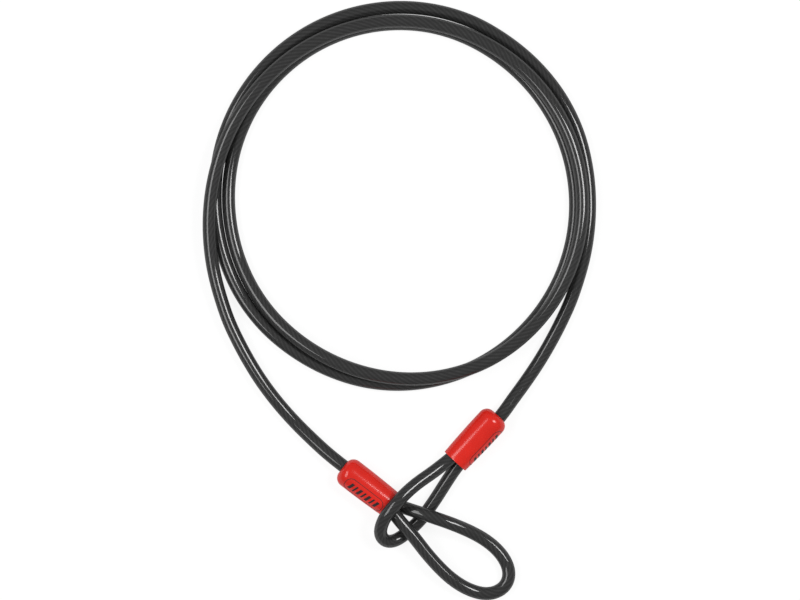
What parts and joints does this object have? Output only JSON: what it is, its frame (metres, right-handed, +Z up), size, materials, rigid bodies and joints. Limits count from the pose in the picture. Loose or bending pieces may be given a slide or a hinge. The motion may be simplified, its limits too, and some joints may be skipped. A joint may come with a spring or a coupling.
{
  "type": "looped security cable for a bicycle lock",
  "caption": "Coiled plastic-jacketed steel cable with a crimped eye at each end under a round red cover, one eye passed through the other.",
  "frame": {"origin": "middle of the whole object's bounding box, on the surface the cable lies on", "axes": "+Z up from the surface; +Y from the linked eyes towards the coil; +X to the right seen from above"},
  "size_m": [0.2382, 0.3634, 0.0265],
  "materials": {
    "jacket": "glossy smoke-black translucent PVC with the strands showing through",
    "rope": "bright drawn wire",
    "ferrule": "pressed, satin",
    "cover": "glossy moulded red"
  },
  "bodies": {
    "coil": {"jacket_turn_1": "jacket", "jacket_turn_2": "jacket", "jacket_turn_3": "jacket", "jacket_root_a": "jacket", "jacket_root_b": "jacket", "rope_turn_1": "rope", "rope_turn_2": "rope", "rope_turn_3": "rope", "rope_root_a": "rope", "rope_root_b": "rope"},
    "linked_ends": {"jacket_tail_a": "jacket", "jacket_tail_b": "jacket", "jacket_eye_a": "jacket", "jacket_eye_b": "jacket", "rope_tail_a": "rope", "rope_tail_b": "rope", "rope_eye_a": "rope", "rope_eye_b": "rope", "rope_live_a": "rope", "rope_live_b": "rope", "rope_dead_a": "rope", "rope_dead_b": "rope", "ferrule_a": "ferrule", "ferrule_b": "ferrule", "cover_a": "cover", "cover_b": "cover"}
  },
  "joints": [
    {"name": "ends_lift", "type": "hinge", "parent": "coil", "child": "linked_ends", "pos_m": [0, -0.024, 0.0109], "axis": [-1, 0, 0], "range_deg": [0, 45]}
  ]
}
